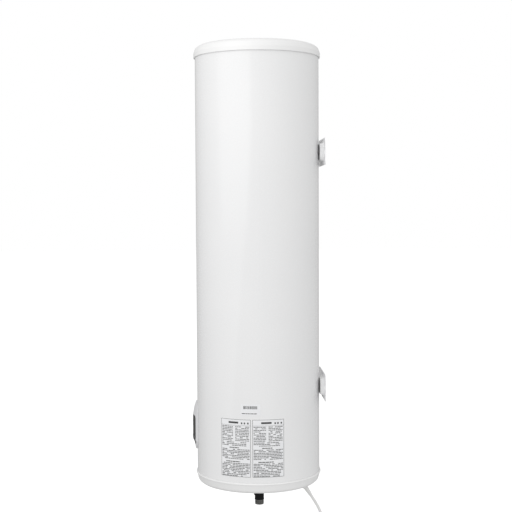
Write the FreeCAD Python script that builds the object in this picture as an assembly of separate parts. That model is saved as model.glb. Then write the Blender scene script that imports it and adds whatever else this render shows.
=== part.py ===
import FreeCAD, Part
import math
import os

# Slim wall-hung electric storage water heater, in millimetres.
# +Z is up, +X is to the right seen from the front, and +Y points at the wall.
# The origin is the centre of the upper bracket's wall face.
# Most pieces are placed by at(x, y, z): x and y from the heater's axis, z from the seam
# between the casing and the bottom cap.

# ---- driving dimensions ----
CASING_R = 182.5            # outer radius of the steel casing
CASING_T = 0.5              # casing sheet
BODY_H = 1222.0             # from the bottom seam to the top seam
WALL_GAP = 12.5             # from the wall to the nearest line of the casing
UPPER_BRACKET_Z = 945.0     # bracket centres, above the bottom seam
LOWER_BRACKET_Z = 254.0
CAP_LIP_R = 186.0           # bead round the bottom cap's rim
TOP_CAP_R = 186.5
TOP_SKIRT_H = 13.0
TOP_RIM_R = 178.8           # inside of the rim that stands in the casing
UNDERSIDE_Z = -32.5         # flat underside of the bottom cap
CAP_T = 3.0                 # cap wall
SEAT = 0.3                  # gap between the casing's edge and the groove it stands in

TANK_R = 157.0
TANK_T = 1.8                # tank sheet
DOME_H = 45.0
TANK_LOW = 95.0             # where the lower dome starts
TANK_HIGH = BODY_H - 65.0   # where the upper dome starts
DOME_R = (TANK_R ** 2 + DOME_H ** 2) / (2 * DOME_H)
BASE_PLATE_Z = 12.5
BASE_PLATE_T = 1.0

PIPE_X = 50.0               # hot at -PIPE_X, cold at +PIPE_X
PIPE_R = 10.5
PIPE_BORE_R = 9.0
THREAD_R = 13.22            # G 3/4 thread
THREAD_LOW = -94.0
THREAD_HIGH = -80.0
SLEEVE_R = 14.0
RING_R = 16.0               # coloured bush round each sleeve, in the hole in the bottom cap
PIPE_TOP = 60.0

FLANGE_Y = -66.0            # the element flange sits in front of the axis
FLANGE_R = 46.0
FLANGE_OPEN_R = 31.0
FLANGE_Z = 34.0             # underside of the welded ring
STUD_CIRCLE_R = 38.5
STUDS = 6
COVER_R = 66.0              # service cover
COVER_OPEN_R = 56.0
COVER_SCREW_R = 61.0        # circle of the cover's screws
COVER_SCREWS = 4
CAP_SCREW_R = 138.0         # circle of the screws that hold the bottom cap
CAP_SCREWS = 3
PLATE_LOW = FLANGE_Z - 7.0  # underside of the flange plate
ELEMENT_X = 13.0            # half the element's width
ELEMENT_R = 4.25
ELEMENT_TOP = 330.0
WELL_Y = FLANGE_Y + 17.0    # sensor pocket
WELL_R = 6.0
WELL_TOP = 285.0
ANODE_Y = FLANGE_Y - 18.0
ANODE_R = 11.0
ANODE_STEM_R = 4.0
ANODE_TOP = 350.0
CUTOUT_LOW = -12.0          # underside of the thermal cut-out
CUTOUT_HALF = (24.0, 17.0)
RESET_R = 3.0
RESET_PROUD = 3.0
EARTH_AT = (22.0, FLANGE_Y - 16.0)
CHANNEL_X = 12.0            # half the width of the foam's channel for the control lead
CHANNEL_Y = (-176.0, -158.0)

PLATE_W = 190.0             # bracket plate
PLATE_H = 78.0
PLATE_T = 2.5
PAD_DEPTH = WALL_GAP + 1.0  # the pad is saddled 1 mm round the casing
PAD_BASE = (136.0, 56.0)
PAD_FACE = (120.0, 46.0)
SLOT_X = 80.0
SLOT_R = 5.5
SLOT_LENGTH = 20.0

PANEL_PROUD = 13.4          # control panel, proud of the casing
PANEL_Z = (65.0, 207.0)
PANEL_W = 82.0
PANEL_CORNER = 36.0
FRONT_R = 77.0              # the panel bulges at this radius, seen from above
CORE_R = 30.0               # inside of the turned blank that the front is cut from
SHOULDER_R = 46.0           # the bezel's edges fall away at this radius
SHOULDER_Y = -159.1
BEZEL_WALL = 3.0
WINDOW_Z = (80.0, 168.0)
WINDOW_W = 70.0
WINDOW_T = 2.5
WINDOW_CORNERS = (10.0, 24.0)   # top and bottom
LEDGE = 2.5
LEDGE_T = 1.5
BUTTON_R = 5.0
BUTTON_GAP = 0.35
BUTTON_PROUD = 0.4
BUTTON_Z = 104.0
BUTTON_X = {"power_button": -24.0, "cooler_button": -8.0, "warmer_button": 8.0, "eco_button": 24.0}
FRONT_Y = -215.0            # well in front of everything
BOARD_Y = -183.0            # front face of the control board
BOARD_T = 1.5
BOX_X = 30.0                # half width of the control box
BOX_Y = (-181.4, -161.0)
BOX_Z = (92.0, 182.0)
BOX_T = 1.8
LAMP_X = (-8.0, 8.0)
LAMP_Z = 123.0
LAMP_R = 1.4
BUTTON_BACK_Y = -186.3
SWITCH_T = 2.2
DISPLAY_X = 23.0
DISPLAY_Z = (133.0, 155.0)
DISPLAY_T = 5.6

LABEL_OUT = CASING_R + 0.25
# labels on the casing: first and last angle, from +X towards +Y, then low and high edge
LABELS = {"rating_label": (-37.5, -9.2, 18.0, 182.5),
          "wiring_label": (-7.5, 21.1, 18.0, 182.5),
          "barcode_label": (-18.1, -0.3, 195.0, 227.0)}

CORD_R = 4.2
GLAND_AT = (65.0, 129.5)    # where the gland's axis meets the underside
GLAND_LEAN = math.radians(33.0)   # the gland leans from straight down towards the wall
BOSS_T = 6.5
NUT_UP = 12.0               # the gland nut's seat, above the underside
COLLAR_T = 4.0
RELIEF_START = BOSS_T + COLLAR_T
RELIEF_END = RELIEF_START + 27.5
RELIEF_R = (7.0, 4.9)       # the strain relief tapers between these
GLAND_BODY_R = 6.4
TURN = 0.45                 # share of the shorter run that a bend's tangent takes
# the cord from the strain relief to the coil: x and y from the heater's axis, z from the seam
CORD_ROUTE = [(65.2, 165.4, -87.8), (66.2, 178.9, -113.0), (69.0, 187.6, -144.0),
              (74.2, 189.3, -180.0), (78.0, 188.6, -212.0)]
COIL_R = 47.4               # middle of the bundle
COIL_HALF = (10.0, 9.6)     # half the bundle's width, radially and towards the wall
COIL_AT = (17.2, 184.0, -212.0)
TAIL_ROUTE = [(69.1, 179.4, -212.0), (69.7, 178.8, -232.0), (70.7, 176.6, -252.0),
              (70.9, 173.6, -272.0)]
PLUG_R = 19.0
PLUG_H = 66.0
PIN_R = 2.4
PIN_X = 9.5                 # half the distance between the pins
PIN_OUT = 19.0

AXIS_Y = -(WALL_GAP + CASING_R)
SEAM_Z = -UPPER_BRACKET_Z
UP = FreeCAD.Vector(0, 0, 1)
BACK = FreeCAD.Vector(0, 1, 0)


# ---- helpers ----
def at(x, y, z):
    return FreeCAD.Vector(x, AXIS_Y + y, SEAM_Z + z)


def rod(r, low, high, x=0.0, y=0.0):
    return Part.makeCylinder(r, high - low, at(x, y, low), UP)


def tube(outer, inner, low, high, x=0.0, y=0.0):
    return rod(outer, low, high, x, y).cut(rod(inner, low - 1, high + 1, x, y))


def block(x, y, z):
    """A box from its (low, high) pairs."""
    return Part.makeBox(x[1] - x[0], y[1] - y[0], z[1] - z[0], at(x[0], y[0], z[0]))


def path(points, radii):
    """Edges along the points, with a tangent arc of each inner point's radius."""
    edges, here = [], points[0]
    for before, corner, after, radius in zip(points, points[1:], points[2:], radii[1:]):
        inward, outward = (corner - before).normalize(), (after - corner).normalize()
        half = inward.getAngle(outward) / 2
        if radius:
            reach = radius * math.tan(half)
            start, end = corner - inward * reach, corner + outward * reach
            middle = corner + (outward - inward).normalize() * (radius / math.cos(half) - radius)
            if start.distanceToPoint(here) > 1e-6:
                edges.append(Part.LineSegment(here, start).toShape())
            edges.append(Part.Arc(start, middle, end).toShape())
            here = end
        else:
            edges.append(Part.LineSegment(here, corner).toShape())
            here = corner
    edges.append(Part.LineSegment(here, points[-1]).toShape())
    return edges


def turned(profile, x=0.0, y=0.0):
    """A solid of revolution about a vertical axis, from (radius, z, rounding) corners."""
    corners = [at(x + p[0], y, p[1]) for p in profile]
    rounding = [p[2] if len(p) > 2 else 0 for p in profile]
    wire = Part.Wire(path(corners + corners[:1], rounding + [0]))
    return Part.Face(wire).revolve(at(x, y, 0), UP, 360)


def hose(points, radius, radii=None):
    """A round tube along the points, each bend as wide as its two runs allow."""
    if radii is None:
        radii = [0.0] * len(points)
        for i in range(1, len(points) - 1):
            runs = points[i] - points[i - 1], points[i + 1] - points[i]
            turn = runs[0].getAngle(runs[1])
            radii[i] = TURN * min(run.Length for run in runs) / math.tan(turn / 2)
    spine = Part.Wire(path(points, radii))
    start = (points[1] - points[0]).normalize()
    section = Part.Wire([Part.Circle(points[0], start, radius).toShape()])
    solid = spine.makePipeShell([section], True, True)
    expected = math.pi * radius ** 2 * spine.Length
    print("tube", round(spine.Length, 1), "mm, bends", [round(r) for r in radii[1:-1]],
          "volume share", round(solid.Volume / expected, 4))
    return solid


def group(solids):
    return Part.makeCompound(solids)


def around(count, radius, x=0.0, y=0.0, turn=0.0):
    """Points spread evenly on a circle."""
    steps = [turn + 2 * math.pi * k / count for k in range(count)]
    return [(x + radius * math.cos(a), y + radius * math.sin(a)) for a in steps]


def upright_outline(half, low, high, top_r, bottom_r):
    """A rounded rectangle across the front, run through the whole panel."""
    corners = [(0, low, 0), (half, low, bottom_r), (half, high, top_r),
               (-half, high, top_r), (-half, low, bottom_r), (0, low, 0)]
    wire = Part.Wire(path([at(x, -210, z) for x, z, _ in corners], [r for _, _, r in corners]))
    return Part.Face(wire).extrude(BACK * 60)


def sector(outer, inner, low, high, first, last):
    """A piece of a thin upright tube between two angles, in degrees from +X towards +Y."""
    parts = []
    for r in (outer, inner):
        part = Part.makeCylinder(r, high - low, at(0, 0, low), UP, last - first)
        part.rotate(at(0, 0, 0), UP, first)
        parts.append(part)
    return parts[0].cut(parts[1])


def hexagon(across, low, high, x, y):
    corners = [at(px, py, low) for px, py in around(6, across / math.sqrt(3), x, y)]
    return Part.Face(Part.makePolygon(corners + corners[:1])).extrude(UP * (high - low))


# ---- casing and caps ----
def opening_in_casing():
    return block((-BOX_X - 2, BOX_X + 2), (-200, -150), (BOX_Z[0] - 2, BOX_Z[1] + 2))


def outer_casing():
    shell = tube(CASING_R, CASING_R - CASING_T, -CAP_T, BODY_H + TOP_SKIRT_H - 1)
    return shell.cut(opening_in_casing())


def groove(low, high):
    """The slot in a cap that the casing's edge stands in."""
    return tube(CASING_R + SEAT, CASING_R - CASING_T - SEAT, low, high)


def top_cap():
    top, skirt = BODY_H, TOP_SKIRT_H
    cap = turned([(0, top + 42.5), (120, top + 39.6, 900), (170, top + 35.0, 30),
                  (181.5, top + 27.0, 14), (TOP_CAP_R, top + skirt, 12), (TOP_CAP_R, top, 1.4),
                  (TOP_RIM_R, top, 0), (TOP_RIM_R, top + skirt, 1), (176, top + 24, 6),
                  (166, top + 31.5, 20), (120, top + 36.4, 900), (0, top + 39.4)])
    return cap.cut(groove(top - 1, top + skirt - 1 + SEAT))


def cap_screw_places():
    return around(CAP_SCREWS, CAP_SCREW_R, turn=math.radians(-30))


def cover_screw_places():
    return around(COVER_SCREWS, COVER_SCREW_R, 0, FLANGE_Y, math.radians(45))


def gland_point(t):
    """A point on the gland's axis, t below the cap's underside."""
    return at(GLAND_AT[0], GLAND_AT[1] + t * math.sin(GLAND_LEAN),
              UNDERSIDE_Z - t * math.cos(GLAND_LEAN))


GLAND_WAY = (gland_point(1) - gland_point(0)).normalize()


def on_gland(r, first, last, tip=None):
    if tip is None:
        return Part.makeCylinder(r, last - first, gland_point(first), GLAND_WAY)
    return Part.makeCone(r, tip, last - first, gland_point(first), GLAND_WAY)


def bottom_cap():
    low = UNDERSIDE_Z
    cap = turned([(CAP_LIP_R - 2.2, 0), (CAP_LIP_R, -2.4, 1.0), (CAP_LIP_R, -4.8, 1.2),
                  (184.3, -5.6, 0.5), (179, -25, 10), (171.5, -30.8, 8), (152, low, 40),
                  (0, low), (0, low + CAP_T), (152, low + CAP_T, 34), (169.8, -27.9, 6),
                  (176.2, -23, 8), (179.1, -8, 3), (179.1, 10, 0.8), (181.6, 10, 0.8),
                  (181.6, -CAP_T - SEAT), (CAP_LIP_R - 3.2, -CAP_T - SEAT),
                  (CAP_LIP_R - 3.2, 0)])
    for x, y in cap_screw_places():
        cap = cap.fuse(rod(6, low + 1, BASE_PLATE_Z - 0.1, x, y))
    for x, y in cover_screw_places():
        cap = cap.fuse(rod(4, low + 1, low + 12, x, y))
    cap = cap.fuse(on_gland(11, -NUT_UP, BOSS_T))
    cap = cap.cut(on_gland(GLAND_BODY_R + 0.2, -20, 20))
    for x, y in cap_screw_places():
        cap = cap.cut(rod(2.2, low - 5, BASE_PLATE_Z + 1, x, y))
        cap = cap.cut(rod(4.6, low - 5, low + 1.6, x, y))
    for x, y in cover_screw_places():
        cap = cap.cut(rod(1.55, low - 1, low + 13, x, y))
    for x in (-PIPE_X, PIPE_X):
        cap = cap.cut(rod(RING_R + 0.1, low - 5, low + 8, x))
    return cap.cut(rod(COVER_OPEN_R, low - 5, low + 3.2, 0, FLANGE_Y))


def base_plate():
    plate = rod(181.5, BASE_PLATE_Z, BASE_PLATE_Z + BASE_PLATE_T)
    plate = plate.cut(rod(COVER_OPEN_R, 0, 30, 0, FLANGE_Y))
    for x in (-PIPE_X, PIPE_X):
        plate = plate.cut(rod(PIPE_R + 1.5, 0, 30, x))
    for x, y in cap_screw_places():
        plate = plate.cut(rod(2.1, 0, 30, x, y))
    return plate.cut(block((-20, 20), CHANNEL_Y, (0, 30)))


def service_cover():
    low = UNDERSIDE_Z
    cover = turned([(0, low - 3), (COVER_R, low - 3, 1.8), (COVER_R, low - 0.1, 0.4),
                    (COVER_OPEN_R - 0.4, low - 0.1), (COVER_OPEN_R - 0.4, low + 5),
                    (COVER_OPEN_R - 2.4, low + 5), (COVER_OPEN_R - 2.4, low - 0.5),
                    (0, low - 0.5)], 0, FLANGE_Y)
    for x, y in cover_screw_places():
        cover = cover.cut(rod(1.7, low - 5, low + 2, x, y))
    return cover


def pan_screw(x, y, head_r, head_t, shank_r, head_z, tip_z):
    """A screw driven upwards: its head hangs below head_z and has a cross slot."""
    head = turned([(0, head_z - head_t), (head_r, head_z - head_t, head_t * 0.6),
                   (head_r, head_z), (0, head_z)], x, y)
    cross = block((x - 0.4, x + 0.4), (y - 1.9, y + 1.9), (head_z - head_t - 1, head_z - head_t + 1))
    other = block((x - 1.9, x + 1.9), (y - 0.4, y + 0.4), (head_z - head_t - 1, head_z - head_t + 1))
    return head.fuse(rod(shank_r, head_z - 0.2, tip_z, x, y)).cut(cross).cut(other)


def cover_screws():
    low = UNDERSIDE_Z
    return group([pan_screw(x, y, 3.4, 2.2, 1.5, low - 3.05, low + 9) for x, y in cover_screw_places()])


def cap_screws():
    low = UNDERSIDE_Z
    return group([pan_screw(x, y, 4.2, 2.6, 2.0, low + 1.55, 24) for x, y in cap_screw_places()])


# ---- wall brackets ----
def bracket(centre_z):
    def panel(size, y, corner):
        half_w, half_h = size[0] / 2, size[1] / 2
        spots = [(0, -half_h, 0), (half_w, -half_h, corner), (half_w, half_h, corner),
                 (-half_w, half_h, corner), (-half_w, -half_h, corner), (0, -half_h, 0)]
        edges = path([FreeCAD.Vector(x, y, z) for x, z, _ in spots], [r for _, _, r in spots])
        return Part.Wire(edges)

    def inset(size):
        return size[0] - 2 * PLATE_T, size[1] - 2 * PLATE_T

    plate = Part.Face(panel((PLATE_W, PLATE_H), -PLATE_T, 10)).extrude(BACK * PLATE_T)
    pad = Part.makeLoft([panel(PAD_BASE, -PLATE_T / 2, 14), panel(PAD_FACE, -PAD_DEPTH, 12)], True)
    hollow = Part.makeLoft([panel(inset(PAD_BASE), 1, 11.5),
                            panel(inset(PAD_FACE), PLATE_T - PAD_DEPTH, 9.5)], True)
    whole = plate.fuse(pad).cut(hollow)
    for x in (-SLOT_X, SLOT_X):
        reach = SLOT_LENGTH / 2 - SLOT_R
        slot = Part.makeBox(2 * reach, 3 * PLATE_T, 2 * SLOT_R,
                            FreeCAD.Vector(x - reach, -2 * PLATE_T, -SLOT_R))
        for end in (-reach, reach):
            slot = slot.fuse(Part.makeCylinder(SLOT_R, 3 * PLATE_T,
                                               FreeCAD.Vector(x + end, -2 * PLATE_T, 0), BACK))
        whole = whole.cut(slot.removeSplitter())
    whole.translate(UP * (SEAM_Z + centre_z))
    return whole.cut(rod(CASING_R + 0.02, 0, BODY_H)).removeSplitter()


# ---- tank and water side ----
def tank_shape(inset):
    r = TANK_R - inset
    ball = DOME_R - inset
    low, high = TANK_LOW + DOME_R - DOME_H, TANK_HIGH - DOME_R + DOME_H
    body = rod(r, TANK_LOW - DOME_H, TANK_HIGH + DOME_H)
    lower = Part.makeSphere(ball, at(0, 0, low))
    upper = Part.makeSphere(ball, at(0, 0, high))
    column = rod(r, low, high)
    return body.common(lower.fuse(column).fuse(upper)).removeSplitter()


def inner_tank():
    tank = tank_shape(0).cut(tank_shape(TANK_T))
    for x in (-PIPE_X, PIPE_X):
        tank = tank.cut(rod(PIPE_R + 0.05, 0, 100, x))
    return tank.cut(rod(FLANGE_OPEN_R, 0, 100, 0, FLANGE_Y))


def insulation_foam():
    foam = rod(CASING_R - CASING_T - 0.4, BASE_PLATE_Z + BASE_PLATE_T + 0.2, BODY_H - 1)
    foam = foam.fuse(rod(TOP_RIM_R - 0.3, BODY_H - 2, BODY_H + 9)).removeSplitter()
    foam = foam.cut(tank_shape(-0.2))
    foam = foam.cut(rod(COVER_OPEN_R, 0, 90, 0, FLANGE_Y))
    for x in (-PIPE_X, PIPE_X):
        foam = foam.cut(rod(PIPE_R + 0.3, 0, 90, x))
    for x, y in cap_screw_places():
        foam = foam.cut(rod(4, 0, 28, x, y))
    foam = foam.cut(block((-BOX_X - 1, BOX_X + 1), (-200, BOX_Y[1] + 1), (BOX_Z[0] - 1, BOX_Z[1] + 1)))
    return foam.cut(block((-CHANNEL_X, CHANNEL_X), CHANNEL_Y, (0, BOX_Z[0] + 1)))


def flange_ring():
    ring = tube(FLANGE_R, FLANGE_OPEN_R, FLANGE_Z, 90, 0, FLANGE_Y).cut(tank_shape(0))
    for x, y in around(STUDS, STUD_CIRCLE_R, 0, FLANGE_Y):
        ring = ring.cut(rod(3.05, FLANGE_Z - 1, FLANGE_Z + 12, x, y))
    return ring


def flange_gasket():
    gasket = tube(FLANGE_R, FLANGE_OPEN_R, FLANGE_Z - 3, FLANGE_Z, 0, FLANGE_Y)
    for x, y in around(STUDS, STUD_CIRCLE_R, 0, FLANGE_Y):
        gasket = gasket.cut(rod(3.3, 0, 60, x, y))
    return gasket


def flange_plate():
    plate = rod(FLANGE_R - 0.5, PLATE_LOW, FLANGE_Z - 3, 0, FLANGE_Y)
    for x, y in around(STUDS, STUD_CIRCLE_R, 0, FLANGE_Y):
        plate = plate.cut(rod(3.3, 0, 60, x, y))
    for x in (-ELEMENT_X, ELEMENT_X):
        plate = plate.cut(rod(ELEMENT_R + 0.05, 0, 60, x, FLANGE_Y))
    plate = plate.cut(rod(WELL_R + 0.05, 0, 60, 0, WELL_Y))
    return plate.cut(rod(ANODE_STEM_R + 0.05, 0, 60, 0, ANODE_Y))


def flange_studs():
    return group([rod(3.0, 15, FLANGE_Z + 11.9, x, y)
                  for x, y in around(STUDS, STUD_CIRCLE_R, 0, FLANGE_Y)])


def flange_nuts():
    nuts = []
    for x, y in around(STUDS, STUD_CIRCLE_R, 0, FLANGE_Y):
        nuts.append(hexagon(10, PLATE_LOW - 5.1, PLATE_LOW - 0.1, x, y).cut(rod(3.1, 0, 60, x, y)))
    return group(nuts)


def heating_element():
    low, high = 13.0, ELEMENT_TOP
    spots = [at(-ELEMENT_X, FLANGE_Y, low), at(-ELEMENT_X, FLANGE_Y, high),
             at(ELEMENT_X, FLANGE_Y, high), at(ELEMENT_X, FLANGE_Y, low)]
    return hose(spots, ELEMENT_R, [0, ELEMENT_X - 0.5, ELEMENT_X - 0.5, 0])


def anode_rod():
    stem = rod(ANODE_STEM_R, 20, FLANGE_Z + 3, 0, ANODE_Y)
    return rod(ANODE_R, FLANGE_Z + 2, ANODE_TOP, 0, ANODE_Y).fuse(stem)


def anode_nut():
    nut = hexagon(13, PLATE_LOW - 5.1, PLATE_LOW - 0.1, 0, ANODE_Y)
    return nut.cut(rod(ANODE_STEM_R + 0.1, 0, 60, 0, ANODE_Y))


def sensor_pocket():
    pocket = rod(WELL_R, PLATE_LOW - 3, WELL_TOP, 0, WELL_Y)
    return pocket.cut(rod(WELL_R - 1, PLATE_LOW - 4, WELL_TOP - 2, 0, WELL_Y))


def sensor_probes():
    return group([rod(2.2, 12, WELL_TOP - 15, x, WELL_Y) for x in (-2.4, 2.4)])


def nipple(x):
    return turned([(PIPE_BORE_R, THREAD_LOW), (THREAD_R, THREAD_LOW), (THREAD_R, THREAD_HIGH),
                   (PIPE_R, THREAD_HIGH), (PIPE_R, PIPE_TOP), (PIPE_BORE_R, PIPE_TOP)], x)


def sleeve(x):
    return tube(SLEEVE_R, PIPE_R + 0.02, THREAD_HIGH + 0.02, UNDERSIDE_Z + 6, x)


def colour_ring(x):
    return tube(RING_R, SLEEVE_R + 0.05, UNDERSIDE_Z + 0.2, UNDERSIDE_Z + CAP_T, x)


def hot_outlet_pipe():
    return tube(PIPE_R, PIPE_BORE_R, PIPE_TOP + 0.02, TANK_HIGH + 22, -PIPE_X)


def cold_inlet_diffuser():
    cup = tube(PIPE_R + 2, PIPE_R - 1, PIPE_TOP + 0.02, PIPE_TOP + 26, PIPE_X)
    cup = cup.fuse(rod(PIPE_R + 2, PIPE_TOP + 24, PIPE_TOP + 26, PIPE_X))
    for turn in (0, 60, 120):
        bar = Part.makeBox(40, 5, 14, FreeCAD.Vector(-20, -2.5, 0))
        bar.rotate(FreeCAD.Vector(0, 0, 0), UP, turn)
        bar.translate(at(PIPE_X, 0, PIPE_TOP + 7))
        cup = cup.cut(bar)
    return cup


# ---- electrical parts under the tank ----
def thermal_cutout():
    half_x, half_y = CUTOUT_HALF
    body = block((-half_x, half_x), (FLANGE_Y - half_y, FLANGE_Y + half_y), (CUTOUT_LOW, 6))
    return body.cut(rod(RESET_R + 0.35, CUTOUT_LOW - 1, CUTOUT_LOW + 9, 0, FLANGE_Y))


def reset_button():
    return rod(RESET_R, CUTOUT_LOW - RESET_PROUD, CUTOUT_LOW + 5, 0, FLANGE_Y)


def terminal_block():
    body = block((78, 100), (-84, -40), (-6, BASE_PLATE_Z - 0.1))
    for y in (-76, -62, -48):
        body = body.cut(rod(2.5, -7, 4, 89, y))
    return body


def earth_screw():
    head = hexagon(8, PLATE_LOW - 4, PLATE_LOW, *EARTH_AT)
    return head.fuse(rod(2.5, PLATE_LOW - 8, PLATE_LOW - 3, *EARTH_AT))


def supply_lead():
    spots = [gland_point(-NUT_UP - 5.05), gland_point(-NUT_UP - 16), at(74, 84, 4),
             at(88, 20, 2), at(89, -39.9, 3)]
    return hose(spots, 3.6)


def element_leads():
    leads = []
    for side in (-1, 1):
        spots = [at(side * ELEMENT_X, FLANGE_Y, 12.9), at(side * ELEMENT_X, FLANGE_Y, 10.0),
                 at(side * (ELEMENT_X + 0.6), FLANGE_Y, 6.4)]
        leads.append(hose(spots, 1.3))
    return group(leads)


def control_lead():
    spots = [at(0, -168, BOX_Z[0] - 0.1), at(0, -168.5, 60), at(2, -168, 20), at(6, -160, -6),
             at(12, -132, -14), at(14, -106, -8), at(14, FLANGE_Y - CUTOUT_HALF[1] - 1.2, -4)]
    return hose(spots, 2.6)


# ---- control panel ----
def dome(inset=0.0, proud=0.0):
    """The panel's bulging front, moved in or out along its radius."""
    def r(value):
        return FRONT_R - PANEL_PROUD + value - inset + proud

    low, high = PANEL_Z
    return turned([(CORE_R, low - inset), (r(5.0), low - inset), (r(5.6), low + 4),
                   (r(9.4), low + 22.5, 12), (r(PANEL_PROUD), low + 30, 8),
                   (r(PANEL_PROUD), low + 98, 60), (r(9.3), high - 17, 60),
                   (r(3.5), high + inset), (CORE_R, high + inset)],
                  0, FRONT_R - CASING_R - PANEL_PROUD)


def bezel_outline(inset):
    low, high = PANEL_Z
    corner = PANEL_CORNER - inset
    return upright_outline(PANEL_W / 2 - inset, low + inset, high - inset, corner, corner)


def window_outline(inset):
    (low, high), (top_r, bottom_r) = WINDOW_Z, WINDOW_CORNERS
    return upright_outline(WINDOW_W / 2 - inset, low + inset, high - inset,
                           top_r - inset, bottom_r - inset)


def panel_bezel():
    shoulder = rod(SHOULDER_R, 0, 300, 0, SHOULDER_Y)
    shell = dome().common(shoulder).common(bezel_outline(0)).cut(rod(CASING_R + 0.05, 0, 300))
    shell = shell.cut(dome(WINDOW_T + LEDGE_T).common(bezel_outline(BEZEL_WALL)))
    recess = window_outline(0).cut(dome(WINDOW_T))
    return shell.cut(recess).cut(window_outline(LEDGE))


def front_rod(r, x, z, back_y):
    """A rod from well in front of the panel back to back_y."""
    return Part.makeCylinder(r, back_y - FRONT_Y, at(x, FRONT_Y, z), BACK)


def panel_window():
    glass = dome().cut(dome(WINDOW_T - 0.02)).common(window_outline(0.12))
    for x in BUTTON_X.values():
        glass = glass.cut(front_rod(BUTTON_R + BUTTON_GAP, x, BUTTON_Z, -170))
    for x in LAMP_X:
        glass = glass.cut(front_rod(LAMP_R + 0.03, x, LAMP_Z, -170))
    return glass


def button(x):
    return front_rod(BUTTON_R, x, BUTTON_Z, BUTTON_BACK_Y).common(dome(proud=BUTTON_PROUD))


def indicator_lamps():
    return group([front_rod(LAMP_R, x, LAMP_Z, BOARD_Y).common(dome(proud=0.2)) for x in LAMP_X])


def tact_switches():
    return group([block((x - 3, x + 3), (BOARD_Y - SWITCH_T, BOARD_Y), (BUTTON_Z - 3, BUTTON_Z + 3))
                  for x in BUTTON_X.values()])


def display_module():
    return block((-DISPLAY_X, DISPLAY_X), (BOARD_Y - DISPLAY_T, BOARD_Y), DISPLAY_Z)


def control_board():
    low, high = BOX_Z
    return block((-BOX_X + 3, BOX_X - 3), (BOARD_Y, BOARD_Y + BOARD_T), (low + 2, high - 2))


def control_box():
    (front, back), (low, high) = BOX_Y, BOX_Z
    box = block((-BOX_X, BOX_X), (front, back), (low, high))
    inside = block((BOX_T - BOX_X, BOX_X - BOX_T), (FRONT_Y, back - BOX_T), (low + BOX_T, high - BOX_T))
    return box.cut(inside).cut(rod(3.2, 0, low + 5, 0, -168))


# ---- labels ----
def label(name):
    first, last, low, high = LABELS[name]
    return sector(LABEL_OUT, CASING_R + 0.03, low, high, first, last)


# ---- mains cord ----
def cord_gland():
    body = on_gland(GLAND_BODY_R, -NUT_UP - 5, BOSS_T + 0.1)
    body = body.fuse(on_gland(9.0, BOSS_T + 0.05, BOSS_T + COLLAR_T))
    return body.cut(on_gland(CORD_R - 0.4, -NUT_UP - 6, BOSS_T + COLLAR_T + 1))


def gland_nut():
    nut = on_gland(9.5, -NUT_UP - 4.5, -NUT_UP - 0.1)
    return nut.cut(on_gland(GLAND_BODY_R + 0.05, -NUT_UP - 5, -NUT_UP + 1))


def cord_strain_relief():
    return on_gland(RELIEF_R[0], RELIEF_START + 0.02, RELIEF_END, RELIEF_R[1])


def mains_cord():
    lead = [gland_point(RELIEF_END + 0.02)] + [at(*p) for p in CORD_ROUTE]
    return hose(lead, CORD_R)


def cord_coil():
    x, y, z = COIL_AT
    half_r, half_y = COIL_HALF
    corners = [(COIL_R, -half_y, 0), (COIL_R + half_r, -half_y, 6), (COIL_R + half_r, half_y, 6),
               (COIL_R - half_r, half_y, 6), (COIL_R - half_r, -half_y, 6), (COIL_R, -half_y, 0)]
    wire = Part.Wire(path([at(x + r, y + s, z) for r, s, _ in corners], [c[2] for c in corners]))
    return Part.Face(wire).revolve(at(x, y, z), BACK, 360)


def cord_tie():
    x, y, z = COIL_AT
    half_r, half_y = COIL_HALF
    band = block((x - 3, x + 3), (y - half_y - 1.3, y + half_y + 0.3),
                 (z + COIL_R - half_r - 1.4, z + COIL_R + half_r + 1.2))
    return band.cut(cord_coil())


def cord_tail():
    return hose([at(*p) for p in TAIL_ROUTE], CORD_R)


def plug_body():
    x, y, top = TAIL_ROUTE[-1]
    return turned([(0, top - 0.02), (4.9, top - 0.02, 1), (6.6, top - 24, 6), (12, top - 30, 6),
                   (PLUG_R - 1, top - 38, 6), (PLUG_R, top - 50, 20),
                   (PLUG_R - 0.6, top - PLUG_H, 1.5), (0, top - PLUG_H)], x, y)


def plug_contacts():
    x, y, top = TAIL_ROUTE[-1]
    face, tip = top - PLUG_H - 0.02, top - PLUG_H - PIN_OUT
    return group([turned([(0, tip), (PIN_R, tip, 1.6), (PIN_R, face), (0, face)], x + side * PIN_X, y)
                  for side in (-1, 1)])


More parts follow.
